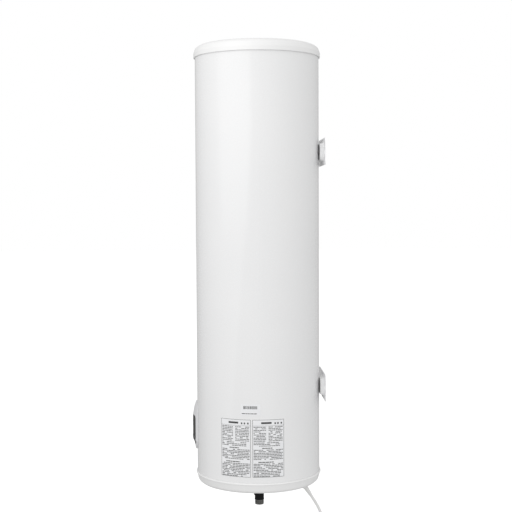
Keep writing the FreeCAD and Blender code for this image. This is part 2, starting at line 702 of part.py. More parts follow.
PIECES = {
    "outer_casing": outer_casing,
    "top_cap": top_cap,
    "bottom_cap": bottom_cap,
    "base_plate": base_plate,
    "service_cover": service_cover,
    "cover_screws": cover_screws,
    "cap_screws": cap_screws,
    "upper_bracket": lambda: bracket(UPPER_BRACKET_Z),
    "lower_bracket": lambda: bracket(LOWER_BRACKET_Z),
    "inner_tank": inner_tank,
    "insulation_foam": insulation_foam,
    "flange_ring": flange_ring,
    "flange_gasket": flange_gasket,
    "flange_plate": flange_plate,
    "flange_studs": flange_studs,
    "flange_nuts": flange_nuts,
    "heating_element": heating_element,
    "anode_rod": anode_rod,
    "anode_nut": anode_nut,
    "sensor_pocket": sensor_pocket,
    "sensor_probes": sensor_probes,
    "cold_nipple": lambda: nipple(PIPE_X),
    "hot_nipple": lambda: nipple(-PIPE_X),
    "cold_sleeve": lambda: sleeve(PIPE_X),
    "hot_sleeve": lambda: sleeve(-PIPE_X),
    "cold_ring": lambda: colour_ring(PIPE_X),
    "hot_ring": lambda: colour_ring(-PIPE_X),
    "hot_outlet_pipe": hot_outlet_pipe,
    "cold_inlet_diffuser": cold_inlet_diffuser,
    "thermal_cutout": thermal_cutout,
    "reset_button": reset_button,
    "terminal_block": terminal_block,
    "earth_screw": earth_screw,
    "supply_lead": supply_lead,
    "element_leads": element_leads,
    "control_lead": control_lead,
    "panel_bezel": panel_bezel,
    "panel_window": panel_window,
    "indicator_lamps": indicator_lamps,
    "tact_switches": tact_switches,
    "display_module": display_module,
    "control_board": control_board,
    "control_box": control_box,
    "cord_gland": cord_gland,
    "gland_nut": gland_nut,
    "cord_strain_relief": cord_strain_relief,
    "mains_cord": mains_cord,
    "cord_coil": cord_coil,
    "cord_tie": cord_tie,
    "cord_tail": cord_tail,
    "plug_body": plug_body,
    "plug_contacts": plug_contacts,
}
for button_name, button_x in BUTTON_X.items():
    PIECES[button_name] = lambda x=button_x: button(x)
for label_name in LABELS:
    PIECES[label_name] = lambda name=label_name: label(name)

os.makedirs("parts", exist_ok=True)
for name, make in PIECES.items():
    shape = make()
    if not shape.isValid() or shape.Volume <= 0 or not shape.Solids:
        print("CHECK", name, shape.isValid(), shape.Volume, len(shape.Solids))
    shape.exportStep("parts/" + name + ".step")
    print(name, "solids", len(shape.Solids), "volume", round(shape.Volume / 1000, 2), "cm3")
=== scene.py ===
import math
import random

import bmesh
import bpy
from mathutils import Matrix, Vector


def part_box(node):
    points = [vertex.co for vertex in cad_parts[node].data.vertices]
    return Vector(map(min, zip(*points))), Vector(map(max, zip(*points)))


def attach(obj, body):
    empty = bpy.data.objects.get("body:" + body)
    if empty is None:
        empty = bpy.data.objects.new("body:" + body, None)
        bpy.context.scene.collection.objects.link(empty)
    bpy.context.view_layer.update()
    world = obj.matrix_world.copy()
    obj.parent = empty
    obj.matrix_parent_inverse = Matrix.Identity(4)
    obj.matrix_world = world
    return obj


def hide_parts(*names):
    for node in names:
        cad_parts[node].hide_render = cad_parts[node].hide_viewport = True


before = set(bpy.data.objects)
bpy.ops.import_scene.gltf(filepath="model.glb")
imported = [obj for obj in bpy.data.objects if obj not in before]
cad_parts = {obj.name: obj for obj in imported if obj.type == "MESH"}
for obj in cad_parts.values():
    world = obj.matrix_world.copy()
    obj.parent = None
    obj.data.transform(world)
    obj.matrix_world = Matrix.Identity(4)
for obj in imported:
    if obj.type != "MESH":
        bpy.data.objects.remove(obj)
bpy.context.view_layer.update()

# Slim wall-hung electric water heater, in metres.
# at(x, y, z): x and y from the heater's axis, z from the seam between casing and bottom cap.
# Sizes of pieces are in millimetres where a name ends in MM.

MM = 0.001
casing_low, casing_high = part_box("outer_casing")
AXIS_Y = (casing_low.y + casing_high.y) / 2
CASING_R = (casing_high.x - casing_low.x) / 2
CASING_TUCK = 0.003         # the casing stands this deep in the bottom cap
SEAM_Z = casing_low.z + CASING_TUCK
UP = Vector((0, 0, 1))


def at(x, y, z):
    return Vector((x, AXIS_Y + y, SEAM_Z + z))


# ---- camera ----
VIEW_TURN = math.radians(2.15)    # from straight along -X, towards the front
VIEW_TILT = 0.0469                # downwards, in radians
VIEW_ROLL = 0.005
VIEW_AWAY = 3.2055
VIEW_HEIGHT = 0.7889
VIEW_ASIDE = -0.0046
LENS_MM = 75.75
SENSOR_MM = 36


def make_camera():
    """The picture's camera, aimed from the heater's right side."""
    data = bpy.data.cameras.new("camera")
    data.lens = LENS_MM
    data.sensor_width = SENSOR_MM
    camera = bpy.data.objects.new("camera", data)
    bpy.context.scene.collection.objects.link(camera)
    ahead = Vector((-math.cos(VIEW_TURN), math.sin(VIEW_TURN), 0))
    right = Vector((math.sin(VIEW_TURN), math.cos(VIEW_TURN), 0))
    look = ahead * math.cos(VIEW_TILT) - UP * math.sin(VIEW_TILT)
    top = ahead * math.sin(VIEW_TILT) + UP * math.cos(VIEW_TILT)
    across = right * math.cos(VIEW_ROLL) - top * math.sin(VIEW_ROLL)
    top = top * math.cos(VIEW_ROLL) + right * math.sin(VIEW_ROLL)
    place = at(0, 0, VIEW_HEIGHT) - ahead * VIEW_AWAY + right * VIEW_ASIDE
    turn = Matrix((across, top, -look)).transposed().to_4x4()
    camera.matrix_world = Matrix.Translation(place) @ turn
    bpy.context.scene.camera = camera


make_camera()


# ---- materials ----
def node(tree, kind, **values):
    """A new node with its sockets or settings given values."""
    made = tree.nodes.new(kind)
    for key, value in values.items():
        if key in made.inputs:
            made.inputs[key].default_value = value
        else:
            setattr(made, key, value)
    return made


def noise(tree, size, detail, stretch=(1, 1, 1)):
    """Noise over the object's own coordinates, with spots of that size in metres."""
    place = node(tree, "ShaderNodeTexCoord")
    scale = node(tree, "ShaderNodeMapping", Scale=stretch)
    spots = node(tree, "ShaderNodeTexNoise", Scale=1 / size, Detail=detail)
    tree.links.new(place.outputs["Object"], scale.inputs["Vector"])
    tree.links.new(scale.outputs["Vector"], spots.inputs["Vector"])
    return spots.outputs["Fac"]


NOISE_RANGE = (0.3, 0.7)    # the part of the noise that is spread out
BUMP_STRENGTH = 0.6


def between(tree, factor, low, high):
    """The factor's middle range spread from one value to the other."""
    spread = node(tree, "ShaderNodeMapRange")
    spread.inputs["From Min"].default_value = NOISE_RANGE[0]
    spread.inputs["From Max"].default_value = NOISE_RANGE[1]
    spread.inputs["To Min"].default_value = low
    spread.inputs["To Max"].default_value = high
    tree.links.new(factor, spread.inputs["Value"])
    return spread.outputs["Result"]


def surface(name, dark, light, mottle, rough, grain, height, stretch=(1, 1, 1), **sockets):
    """A material that drifts between two colours and has a fine grain.

    mottle and grain are sizes in metres, rough is (low, high), height is the grain's depth.
    """
    material = bpy.data.materials.new(name)
    material.use_nodes = True
    tree = material.node_tree
    shader = tree.nodes["Principled BSDF"]
    for key, value in sockets.items():
        shader.inputs[key.replace("_", " ")].default_value = value
    drift = noise(tree, mottle, 3.0)
    ramp = node(tree, "ShaderNodeValToRGB")
    for stop, place, colour in zip(ramp.color_ramp.elements, NOISE_RANGE, (dark, light)):
        stop.position = place
        stop.color = (*colour, 1)
    tree.links.new(drift, ramp.inputs["Fac"])
    tree.links.new(ramp.outputs["Color"], shader.inputs["Base Color"])
    fine = noise(tree, grain, 4.0, stretch)
    tree.links.new(between(tree, fine, *rough), shader.inputs["Roughness"])
    bump = node(tree, "ShaderNodeBump", Strength=BUMP_STRENGTH, Distance=height)
    tree.links.new(fine, bump.inputs["Height"])
    tree.links.new(bump.outputs["Normal"], shader.inputs["Normal"])
    return material


def grey(value):
    return (value, value, value)


BRUSH = (1, 1, 12)          # grain drawn out round a turned piece

paint = surface("white_paint", (0.775, 0.777, 0.78), (0.80, 0.80, 0.802), 0.3, (0.22, 0.30),
                0.0015, 0.00002, Coat_Weight=0.15, Coat_Roughness=0.12)
cap_white = surface("cap_plastic", (0.80, 0.80, 0.798), (0.83, 0.83, 0.828), 0.12, (0.34, 0.46),
                    0.0009, 0.00003, Specular_IOR_Level=0.45)
bracket_white = surface("bracket_powder_coat", (0.92, 0.92, 0.925), (0.94, 0.94, 0.945), 0.05,
                        (0.42, 0.55), 0.0012, 0.00006)
zinc = surface("zinc_plate", (0.42, 0.42, 0.40), (0.55, 0.55, 0.52), 0.012, (0.28, 0.46),
               0.0007, 0.00002, Metallic=1.0)
thread_steel = surface("thread_steel", (0.20, 0.20, 0.195), (0.32, 0.32, 0.31), 0.006,
                       (0.34, 0.52), 0.0006, 0.00003, BRUSH, Metallic=1.0)
sleeve_black = surface("sleeve_plastic", grey(0.007), grey(0.010), 0.02, (0.55, 0.7),
                       0.0006, 0.00003, Specular_IOR_Level=0.12)
glass_black = surface("panel_gloss_black", grey(0.012), grey(0.016), 0.05, (0.14, 0.2),
                      0.004, 0.000005, Specular_IOR_Level=0.22)
bezel_white = surface("bezel_plastic", (0.62, 0.62, 0.63), (0.66, 0.66, 0.67), 0.08, (0.3, 0.4),
                      0.0009, 0.00002, Specular_IOR_Level=0.5)
button_black = surface("button_plastic", grey(0.030), grey(0.040), 0.01, (0.30, 0.42),
                       0.0005, 0.00002)
lamp_clear = surface("lamp_lens", (0.55, 0.30, 0.12), (0.65, 0.38, 0.17), 0.002, (0.10, 0.2),
                     0.0008, 0.00001, Coat_Weight=0.5)
film = surface("label_film", (0.78, 0.785, 0.80), (0.82, 0.825, 0.835), 0.03, (0.34, 0.44),
               0.0008, 0.00001, Specular_IOR_Level=0.5)
ink = surface("label_ink", grey(0.045), grey(0.08), 0.01, (0.5, 0.62), 0.0005, 0.000005)
pale_ink = surface("label_pale_ink", grey(0.06), grey(0.11), 0.004, (0.5, 0.62),
                   0.0005, 0.000005)
sheath = surface("cord_sheath", (0.70, 0.70, 0.69), (0.76, 0.76, 0.75), 0.03, (0.36, 0.48),
                 0.0007, 0.00003, Sheen_Weight=0.1)
plug_white = surface("plug_plastic", (0.72, 0.72, 0.71), (0.77, 0.77, 0.76), 0.03, (0.34, 0.46),
                     0.0007, 0.00003)
contact = surface("contact_metal", (0.62, 0.60, 0.56), (0.74, 0.72, 0.68), 0.004, (0.14, 0.26),
                  0.0005, 0.00001, BRUSH, Metallic=1.0)
strap_black = surface("tie_plastic", grey(0.014), grey(0.022), 0.01, (0.4, 0.55),
                      0.0005, 0.00003)
enamel = surface("tank_coat", (0.10, 0.11, 0.13), (0.15, 0.16, 0.18), 0.08, (0.4, 0.55),
                 0.002, 0.00008)
foam_yellow = surface("rigid_foam", (0.72, 0.62, 0.34), (0.80, 0.71, 0.44), 0.03, (0.85, 0.95),
                      0.003, 0.0004)
rubber_black = surface("gasket_rubber", grey(0.012), grey(0.020), 0.01, (0.6, 0.75),
                       0.0006, 0.00004)
red_plastic = surface("red_plastic", (0.50, 0.020, 0.016), (0.60, 0.030, 0.022), 0.01,
                      (0.34, 0.48), 0.0006, 0.00002)
blue_plastic = surface("blue_plastic", (0.02, 0.07, 0.42), (0.03, 0.10, 0.52), 0.01,
                       (0.34, 0.48), 0.0006, 0.00002)
grey_plastic = surface("grey_plastic", grey(0.22), grey(0.27), 0.02, (0.45, 0.6), 0.0007, 0.00003)
board_green = surface("board_lacquer", (0.012, 0.10, 0.035), (0.020, 0.14, 0.05), 0.008,
                      (0.22, 0.36), 0.0012, 0.00003)
magnesium = surface("anode_metal", grey(0.48), grey(0.58), 0.02, (0.45, 0.6), 0.001, 0.00004,
                    BRUSH, Metallic=1.0)

CAD_LOOKS = {
    paint: ["outer_casing"],
    cap_white: ["top_cap", "bottom_cap", "service_cover", "cord_gland"],
    bracket_white: ["upper_bracket", "lower_bracket"],
    zinc: ["base_plate", "cover_screws", "cap_screws", "flange_plate", "flange_studs",
           "flange_nuts", "anode_nut"],
    enamel: ["inner_tank", "flange_ring"],
    foam_yellow: ["insulation_foam"],
    rubber_black: ["flange_gasket"],
    thread_steel: ["heating_element", "sensor_pocket", "hot_outlet_pipe"],
    magnesium: ["anode_rod"],
    contact: ["sensor_probes", "earth_screw", "plug_contacts"],
    red_plastic: ["hot_ring", "reset_button"],
    blue_plastic: ["cold_ring"],
    grey_plastic: ["terminal_block", "display_module", "control_box", "gland_nut"],
    sleeve_black: ["cold_inlet_diffuser", "thermal_cutout", "tact_switches"],
    board_green: ["control_board"],
    bezel_white: ["panel_bezel"],
    glass_black: ["panel_window"],
    lamp_clear: ["indicator_lamps"],
    button_black: ["power_button", "cooler_button", "warmer_button", "eco_button"],
    film: ["rating_label", "wiring_label", "barcode_label"],
    sheath: ["supply_lead", "element_leads", "control_lead"],
}
for material, names in CAD_LOOKS.items():
    for name in names:
        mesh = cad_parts[name].data
        mesh.materials.clear()
        mesh.materials.append(material)


# ---- mesh helpers ----
def piece(name, points, faces, material, slot, body="heater", smooth=40):
    """A mesh on a body; edges sharper than smooth degrees stay sharp."""
    mesh = bpy.data.meshes.new(name)
    mesh.from_pydata([tuple(p) for p in points], [], faces)
    work = bmesh.new()
    work.from_mesh(mesh)
    bmesh.ops.remove_doubles(work, verts=work.verts, dist=1e-6)
    bmesh.ops.recalc_face_normals(work, faces=work.faces)
    work.to_mesh(mesh)
    work.free()
    mesh.materials.append(material)
    mesh.shade_smooth()
    mesh.set_sharp_from_angle(angle=math.radians(smooth))
    made = bpy.data.objects.new(name, mesh)
    bpy.context.scene.collection.objects.link(made)
    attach(made, body)
    return made


def rounded(corners, steps=4):
    """A closed outline from (across, along, rounding) corners, each rounded by a curve."""
    line = []
    for i, (across, along, radius) in enumerate(corners):
        corner = Vector((across, along))
        if not radius:
            line.append(corner)
            continue
        before = Vector(corners[i - 1][:2]) - corner
        after = Vector(corners[(i + 1) % len(corners)][:2]) - corner
        start = corner + before.normalized() * min(radius, before.length * 0.49)
        end = corner + after.normalized() * min(radius, after.length * 0.49)
        for k in range(steps + 1):
            t = k / steps
            line.append(start * (1 - t) ** 2 + corner * 2 * t * (1 - t) + end * t ** 2)
    return line


def turned(profile, foot, way, steps=96, shaped=None):
    """Points and faces of a closed (radius, along) outline in mm, turned about an axis."""
    side = way.orthogonal().normalized()
    other = way.cross(side)
    points, faces, count = [], [], len(profile)
    for s in range(steps):
        angle = 2 * math.pi * s / steps
        out = side * math.cos(angle) + other * math.sin(angle)
        for radius, along in profile:
            if shaped:
                radius = shaped(radius, along, angle)
            points.append(foot + out * (radius * MM) + way * (along * MM))
    for s in range(steps):
        here, there = s * count, (s + 1) % steps * count
        for i in range(count):
            j = (i + 1) % count
            faces.append((here + i, here + j, there + j, there + i))
    return points, faces


def box_shape(x, y, z):
    """A box between two values along each of the heater's axes."""
    points = [at(px, py, pz) for px in x for py in y for pz in z]
    faces = [(0, 1, 3, 2), (4, 6, 7, 5), (0, 4, 5, 1), (2, 3, 7, 6), (0, 2, 6, 4), (1, 5, 7, 3)]
    return points, faces


def merged(shapes):
    """Several (points, faces) pairs as one."""
    points, faces = [], []
    for some, more in shapes:
        faces += [tuple(i + len(points) for i in face) for face in more]
        points += some
    return points, faces


# ---- mains cord ----
CORD_D = 0.0084
GLAND_FOOT = at(0.065, 0.1295, -0.0325)
GLAND_LEAN = math.radians(33)     # from straight down towards the wall
GLAND_WAY = Vector((0, math.sin(GLAND_LEAN), -math.cos(GLAND_LEAN)))
RELIEF_START_MM = 10.5
RELIEF_END_MM = 38.0
RELIEF_R_MM = (7.0, 4.9)
# from the strain relief to the coil, and from the coil to the plug
CORD_ROUTE = [(0.0652, 0.1654, -0.0878), (0.0662, 0.1789, -0.113), (0.069, 0.1876, -0.144),
              (0.0742, 0.1893, -0.18)]
TAIL_ROUTE = [(0.0697, 0.1788, -0.232), (0.0707, 0.1766, -0.252), (0.0709, 0.1736, -0.272)]
COIL_X, COIL_Z = 0.0172, -0.212
COIL_TURNS = 4
TURN_POINTS = 24
# where a turn lies in the bundle: its radius, and its distance behind the heater's axis
LANES = [(0.0608, 0.1886), (0.0519, 0.1886), (0.0430, 0.1886), (0.0430, 0.1794),
         (0.0519, 0.1794)]
CROSSINGS = [205, 492, 780, 1080]     # degrees round the coil where the cord changes lane
CROSSING_SPAN = 72


def eased(share):
    """A smooth step from 0 to 1."""
    share = max(0.0, min(1.0, share))
    return share * share * (3 - 2 * share)


def coil_point(degrees):
    """A control point of the coil, this far round from its start."""
    radius, depth = LANES[0]
    for start, old, new in zip(CROSSINGS, LANES, LANES[1:]):
        done = eased((degrees - start) / CROSSING_SPAN)
        radius += (new[0] - old[0]) * done
        depth += (new[1] - old[1]) * done
    radius /= math.cos(math.pi / TURN_POINTS)
    angle = math.radians(degrees)
    return at(COIL_X + radius * math.cos(angle), depth, COIL_Z - radius * math.sin(angle))


def cord_points():
    """Control points from the strain relief through the coil to the plug."""
    exit_point = GLAND_FOOT + GLAND_WAY * (RELIEF_END_MM * MM)
    points = [exit_point] + [at(*p) for p in CORD_ROUTE]
    step = 360 / TURN_POINTS
    points += [coil_point(k * step) for k in range(COIL_TURNS * TURN_POINTS + 1)]
    return points + [at(*p) for p in TAIL_ROUTE]


def mains_cord():
    """The whole cord as one swept curve, and the point where it leaves the strain relief."""
    points = cord_points()
    data = bpy.data.curves.new("power_cord", "CURVE")
    data.dimensions = "3D"
    spline = data.splines.new("NURBS")
    spline.points.add(len(points) - 1)
    for spot, point in zip(spline.points, points):
        spot.co = (*point, 1)
    spline.order_u = 3
    spline.use_endpoint_u = True
    spline.resolution_u = 6
    data.bevel_depth = CORD_D / 2
    data.bevel_resolution = 6
    data.use_fill_caps = True
    data.materials.append(sheath)
    cord = bpy.data.objects.new("power_cord", data)
    bpy.context.scene.collection.objects.link(cord)
    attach(cord, "heater")
    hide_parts("mains_cord", "cord_coil", "cord_tail")
    return cord, points[0]


RELIEF_GROOVES = 6
GROOVE_DEPTH_MM = 0.45


def strain_relief():
    """A tapered sleeve with grooves round it."""
    length = RELIEF_END_MM - RELIEF_START_MM

    def radius(along):
        base = RELIEF_R_MM[0] + (RELIEF_R_MM[1] - RELIEF_R_MM[0]) * along / length
        wave = math.cos(2 * math.pi * RELIEF_GROOVES * along / length)
        return base - GROOVE_DEPTH_MM * eased((wave - 0.1) / 0.6) * (0 < along < length)

    rows = 60
    outside = [(radius(length * k / rows), length * k / rows) for k in range(rows + 1)]
    bore = CORD_D / MM / 2 + 0.05
    profile = outside + [(bore, length), (bore, 0.0)]
    foot = GLAND_FOOT + GLAND_WAY * (RELIEF_START_MM * MM)
    made = piece("relief_sleeve", *turned(profile, foot, GLAND_WAY, 48), sheath, "cord_sheath")
    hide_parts("cord_strain_relief")
    return made


TIE_GAP = 0.0004            # between the strap and the bundle
TIE_T, TIE_HALF = 0.0009, 0.0025
BUCKLE_HALF = 0.0037
BUCKLE_Y = (0.0042, 0.0002)     # in front of the bundle, from far to near
BUCKLE_Z = (0.001, 0.0058)
TIE_END_HALF = 0.0019
TIE_END_Y = (0.0031, 0.0021)
TIE_END_TOP = 0.0148


def coil_tie():
    """A strap round the bundle at the top of the coil, with its buckle and end."""
    low_r, high_r = LANES[2][0], LANES[1][0]
    half_y = (LANES[0][1] - LANES[3][1]) / 2 + CORD_D / 2
    mid_y = (LANES[0][1] + LANES[3][1]) / 2
    mid_z = COIL_Z + (low_r + high_r) / 2
    half_z = (high_r - low_r) / 2 + CORD_D / 2
    front_y = mid_y - half_y
    bend = CORD_D / 2

    def loop(out):
        corners = [(s * (half_y + out), t * (half_z + out), bend + out)
                   for s, t in ((-1, -1), (1, -1), (1, 1), (-1, 1))]
        return rounded(corners, 8)

    inner, outer = loop(TIE_GAP), loop(TIE_GAP + TIE_T)
    points, faces = [], []
    for i, (near, far) in enumerate(zip(inner, outer)):
        for spot, x in ((near, -TIE_HALF), (near, TIE_HALF), (far, TIE_HALF), (far, -TIE_HALF)):
            points.append(at(COIL_X + x, mid_y + spot.x, mid_z + spot.y))
        here, there = 4 * i, 4 * ((i + 1) % len(inner))
        for k in range(4):
            m = (k + 1) % 4
            faces.append((here + k, here + m, there + m, there + k))
    band = (points, faces)
    buckle = box_shape((COIL_X - BUCKLE_HALF, COIL_X + BUCKLE_HALF),
                       [front_y - y for y in BUCKLE_Y], [mid_z + z for z in BUCKLE_Z])
    end = box_shape((COIL_X - TIE_END_HALF, COIL_X + TIE_END_HALF),
                    [front_y - y for y in TIE_END_Y],
                    (mid_z + BUCKLE_Z[1], mid_z + TIE_END_TOP))
    made = piece("tie_strap", *merged([band, buckle, end]), strap_black, "black_plastic")
    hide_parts("cord_tie")
    bevel = made.modifiers.new("edges", "BEVEL")
    bevel.width = 0.0003
    bevel.segments = 2
    bevel.limit_method = "ANGLE"
    return made


PLUG_MM = 66.0
FLUTES = 24
FLUTE_DEPTH_MM = 0.55
FLUTED_MM = (40, 60)        # along the plug
FLUTE_FADE_MM = 4
PLUG_STEP_MM = 1.5


def plug():
    """A round two-pin plug whose body is fluted for the fingers."""
    length = PLUG_MM
    profile = rounded([(0, 0, 0), (5.0, 0, 1), (6.4, 22, 5), (11.5, 29, 5), (18.2, 37, 5),
                       (19.0, 46, 4), (19.0, 63.5, 1.2), (17.6, 64.6, 0.6), (17.6, length, 0.5),
                       (0, length, 0)], 5)
    rows = []
    for start, end in zip(profile, profile[1:]):
        parts = max(1, round((end - start).length / PLUG_STEP_MM))
        rows += [start.lerp(end, k / parts) for k in range(parts)]
    rows.append(profile[-1])

    def gripped(radius, along, angle):
        share = eased((along - FLUTED_MM[0]) / FLUTE_FADE_MM) * (radius > 15)
        share *= eased((FLUTED_MM[1] - along) / FLUTE_FADE_MM)
        return radius - FLUTE_DEPTH_MM * share * (0.5 + 0.5 * math.cos(FLUTES * angle))

    made = piece("plug_shell", *turned(rows, at(*TAIL_ROUTE[-1]), -UP, 144, gripped),
                 plug_white, "plug_plastic")
    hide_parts("plug_body")
    return made


cord, cord_exit = mains_cord()
sleeve = strain_relief()
tie = coil_tie()
plug_shell = plug()


# ---- water pipes ----
PIPE_X_MM = 50.0
PIPE_R_MM, BORE_R_MM = 10.5, 9.0
PIPE_TOP_MM = 60.0
THREAD_LOW_MM, THREAD_HIGH_MM = -94.0, -80.0
THREAD_R_MM = 13.22
THREAD_PITCH = 1.814
THREAD_DEPTH = 1.16
LEAD_IN_MM, RUN_OUT_MM = 1.3, 1.2


def nipple(side, name):
    """A pipe end with a real helical thread, a chamfer and an open bore."""
    rows = [(BORE_R_MM, PIPE_TOP_MM), (BORE_R_MM, THREAD_LOW_MM + 0.8), (9.8, THREAD_LOW_MM),
            (11.9, THREAD_LOW_MM)]
    count = round((THREAD_HIGH_MM - THREAD_LOW_MM) / THREAD_PITCH * 10)
    for k in range(1, count + 1):
        rows.append((THREAD_R_MM, THREAD_LOW_MM + (THREAD_HIGH_MM - THREAD_LOW_MM) * k / count))
    rows += [(PIPE_R_MM, THREAD_HIGH_MM), (PIPE_R_MM, PIPE_TOP_MM)]

    def cut(radius, along, angle):
        if radius < THREAD_R_MM:
            return radius
        turn = (along - THREAD_LOW_MM) / THREAD_PITCH - angle / (2 * math.pi)
        depth = THREAD_DEPTH * min(1.0, 1.25 * abs(2 * (turn % 1) - 1))
        lead_in = LEAD_IN_MM * (1 - min(1.0, (along - THREAD_LOW_MM) / LEAD_IN_MM))
        run_out = min(1.0, (THREAD_HIGH_MM - along) / RUN_OUT_MM)
        return radius - max(depth * run_out, lead_in)

    foot = at(side * PIPE_X_MM * MM, 0, 0)
    made = piece(name + "_pipe_end", *turned(rows, foot, UP, 96, cut), thread_steel,
                 "zinc_steel", smooth=60)
    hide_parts(name + "_nipple")


SLEEVE_TOP_MM = -27
SLEEVE_RINGS_MM = (-62, -56)    # undersides of the fine rings
SLEEVE_R_MM, SLEEVE_BEAD_R_MM, SLEEVE_RING_R_MM = 13.6, 14.0, 13.9


def pipe_sleeve(side, name):
    """A moulded sleeve with a bead at its foot and two fine rings."""
    low = THREAD_HIGH_MM + 0.02
    bore, thin, thick, ring = PIPE_R_MM + 0.02, SLEEVE_R_MM, SLEEVE_BEAD_R_MM, SLEEVE_RING_R_MM
    corners = [(bore, low, 0), (thin, low, 0.5), (thick, low + 0.6, 0.4),
               (thick, low + 2.4, 0.3), (thin, low + 3.0, 0.4)]
    for z in SLEEVE_RINGS_MM:
        corners += [(thin, z, 0.3), (ring, z + 0.5, 0.2), (ring, z + 1.5, 0.2), (thin, z + 2, 0.3)]
    profile = rounded(corners + [(thin, SLEEVE_TOP_MM, 0.3), (bore, SLEEVE_TOP_MM, 0)])
    made = piece(name + "_pipe_sleeve", *turned(profile, at(side * PIPE_X_MM * MM, 0, 0), UP),
                 sleeve_black, "black_plastic")
    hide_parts(name + "_sleeve")


for side, name in ((1, "cold"), (-1, "hot")):
    nipple(side, name)
    pipe_sleeve(side, name)


# ---- print on the labels ----
LABEL_R = CASING_R + 0.00025
PRINT_T = 0.00006
CURVE_STEP = 0.004          # a printed bar follows the casing in steps this long


def printed(name, label, bars, material):
    """Thin ink bars on a label: each is left, right, top and bottom, in mm from its top left."""
    first, high = label
    points, faces = [], []
    for left, right, top, bottom in bars:
        parts = max(1, math.ceil((right - left) * MM / CURVE_STEP))
        start = len(points)
        for k in range(parts + 1):
            along = left + (right - left) * k / parts
            angle = math.radians(first) + along * MM / LABEL_R
            for radius in (LABEL_R, LABEL_R + PRINT_T):
                for down in (top, bottom):
                    points.append(at(radius * math.cos(angle), radius * math.sin(angle),
                                     (high - down) * MM))
        for k in range(parts):
            a, b = start + 4 * k, start + 4 * (k + 1)
            faces += [(a, a + 1, b + 1, b), (a + 2, b + 2, b + 3, a + 3),
                      (a, b, b + 2, a + 2), (a + 1, a + 3, b + 3, b + 1)]
        end = start + 4 * parts
        faces += [(start, start + 2, start + 3, start + 1), (end, end + 1, end + 3, end + 2)]
    piece(name, points, faces, material, "label_film")


def frame_bars(width, height, line):
    """The four lines round a label."""
    return [(0, width, 0, line), (0, width, height - line, height),
            (0, line, line, height - line), (width - line, width, line, height - line)]


WORD_MM = (3, 10)
WORD_GAP_MM = 1.1


def words(left, right, top, tall, rng, fill=0.9):
    """A row of generic word-long bars between two ends, with gaps."""
    bars, here = [], left
    while here < right - 2:
        long = min(rng.uniform(*WORD_MM), right - here)
        if rng.random() < fill:
            bars.append((here, here + long, top, top + tall))
        here += long + WORD_GAP_MM
    return bars


LABEL_HIGH_MM, LABEL_LOW_MM = 182.5, 18.0
LABEL_TALL = LABEL_HIGH_MM - LABEL_LOW_MM
# heights are down from a label's top in mm; places across it are shares of its width
LINE_MM = 0.9
RULE_MM = (17.0, 17.6)      # under the header
TITLE = (0.27, 0.60, 6.5, 12.0)
MARKS = (0.69, 0.78, 0.89)
MARK_MM = (4.4, 8.0, 13.0)  # width, top and bottom
COLUMNS = (0.42, 0.50)      # where the table's left column ends and its right one starts
SHORT_LINE = 0.86
TABLE_MM = (20, 60, 4.4)    # first row, last row and pitch
NOTES_MM = (65, 74, 4.4)
HEADINGS = ((80.0, 0.3, 0.62), (120.0, 0.18, 0.66))
PARAGRAPHS_MM = ((85.5, 116, 4.4), (125.5, 161, 4.4))
FULL_ROWS = 7               # the rest of a paragraph's rows are short
TEXT_MM, BODY_TEXT_MM, HEADING_TEXT_MM = 2.0, 2.1, 2.6
MARGIN_MM, TABLE_MARGIN_MM = 3, 4


def row_tops(span):
    """Heights from the first to the last, a pitch apart."""
    first, last, pitch = span
    return [first + k * pitch for k in range(int((last - first) / pitch) + 1)]


def label_print(name, first, last, seed):
    """Generic print on a label that runs between two angles round the casing, in degrees."""
    rng = random.Random(seed)
    width = math.radians(last - first) * LABEL_R / MM
    label = (first, LABEL_HIGH_MM)
    dark = frame_bars(width, LABEL_TALL, LINE_MM)
    dark += [(LINE_MM, width - LINE_MM, *RULE_MM)]
    dark += [(width * TITLE[0], width * TITLE[1], *TITLE[2:])]
    dark += [(width * x, width * x + MARK_MM[0], *MARK_MM[1:]) for x in MARKS]
    pale = []
    for top in row_tops(TABLE_MM):
        pale += words(MARGIN_MM, width * COLUMNS[0], top, TEXT_MM, rng)
        pale += words(width * COLUMNS[1], width - TABLE_MARGIN_MM, top, TEXT_MM, rng)
    for top in row_tops(NOTES_MM):
        pale += words(MARGIN_MM, width * SHORT_LINE, top, TEXT_MM, rng, 0.8)
    for top, left, right in HEADINGS:
        dark += words(width * left, width * right, top, HEADING_TEXT_MM, rng, 1.0)
    for paragraph in PARAGRAPHS_MM:
        for row, top in enumerate(row_tops(paragraph)):
            right = width - MARGIN_MM if row < FULL_ROWS else width * SHORT_LINE
            pale += words(MARGIN_MM, right, top, BODY_TEXT_MM, rng, 0.88)
    printed(name + "_lines", label, dark, ink)
    printed(name + "_text_bars", label, pale, pale_ink)


label_print("rating_label", -37.5, -9.2, 11)
label_print("wiring_label", -7.5, 21.1, 12)


CODE_CORNER = (-18.1, 227.0)    # the sticker's left edge in degrees and its top in mm
CODE_MM = (8.0, 46, 5.5, 14.0)  # left, right, top and bottom of the bars
CODE_BARS_MM, CODE_GAPS_MM = (0.5, 0.9, 1.4), (0.4, 0.6, 1.0)
CODE_SEED = 5


def barcode():
    """Bars of random widths on the sticker, with a row of small bars under them."""
    rng = random.Random(CODE_SEED)
    here, right, *heights = CODE_MM
    bars = []
    while here < right:
        wide = rng.choice(CODE_BARS_MM)
        bars.append((here, here + wide, *heights))
        here += wide + rng.choice(CODE_GAPS_MM)
    small = words(MARGIN_MM, 47, 26, 2.2, rng, 1.0)
    printed("barcode_bars", CODE_CORNER, bars + small, ink)


barcode()


# ---- panel marks and casing seam ----
MARK_STEP_MM = 0.5
MARK_OUT, MARK_BACK = 0.00012, 0.0004     # a mark stands this proud and reaches this deep


